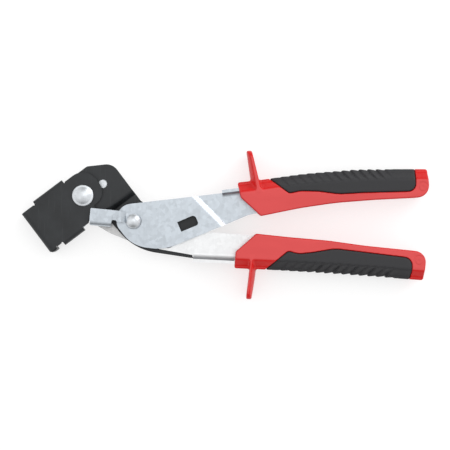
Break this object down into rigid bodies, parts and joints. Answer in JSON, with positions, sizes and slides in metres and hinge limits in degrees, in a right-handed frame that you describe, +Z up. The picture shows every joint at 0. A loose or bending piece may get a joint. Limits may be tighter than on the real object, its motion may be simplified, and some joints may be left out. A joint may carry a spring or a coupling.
{
  "type": "hollow-wall anchor setting pliers",
  "caption": "Hand pliers with an angled black nose, a forked claw drawn back behind its slotted face, zinc lever plates and red grips with black rubber covers.",
  "frame": {"origin": "bottom centre of the bounding box, on the surface that the tool lies on", "axes": "+X along the handles towards the grips' ends, +Y across them towards the upper (moving) handle, +Z up, the pivot's axis"},
  "size_m": [0.2688, 0.0988, 0.0235],
  "materials": {
    "black_steel": "black coated sheet steel, satin",
    "zinc_steel": "bright zinc-plated steel with a bluish grey cast",
    "pale_zinc_steel": "bright zinc-plated steel, pale",
    "hard_steel": "hardened steel, dark satin",
    "red_plastic": "moulded red plastic, satin",
    "black_rubber": "soft moulded rubber, matt, with grooves"
  },
  "bodies": {
    "body": {"body_plate": "black_steel", "nose_bracket": "black_steel", "nose_rivet": "zinc_steel", "pivot_bridge": "zinc_steel", "pivot_rivet": "zinc_steel", "pivot_bush": "hard_steel", "pivot_spacer": "zinc_steel", "pivot_washer": "zinc_steel", "lower_tang": "pale_zinc_steel", "tang_rivet_1": "zinc_steel", "tang_rivet_2": "zinc_steel", "tang_rivet_3": "zinc_steel", "lower_grip_core": "red_plastic", "lower_grip_cover": "black_rubber"},
    "upper_handle": {"upper_plate": "zinc_steel", "rear_lever": "pale_zinc_steel", "lever_rivet_1": "zinc_steel", "lever_rivet_2": "zinc_steel", "upper_grip_core": "red_plastic", "upper_grip_cover": "black_rubber", "drive_pin": "zinc_steel"},
    "draw_claw": {"draw_slide": "zinc_steel", "draw_claw": "hard_steel", "claw_rivet_1": "zinc_steel", "claw_rivet_2": "zinc_steel"}
  },
  "joints": [
    {"name": "handle_pivot", "type": "hinge", "parent": "body", "child": "upper_handle", "pos_m": [-0.06056, 0.00256, 0.0115], "axis": [0, 0, 1], "range_deg": [-3.5, 28]},
    {"name": "claw_slide", "type": "slide", "parent": "body", "child": "draw_claw", "axis": [0.8, 0.6, 0], "range_m": [-0.0152, 0.002]}
  ],
  "couplings": [
    {"joint": "claw_slide", "follows": "handle_pivot", "m_per_rad": -0.0309}
  ]
}
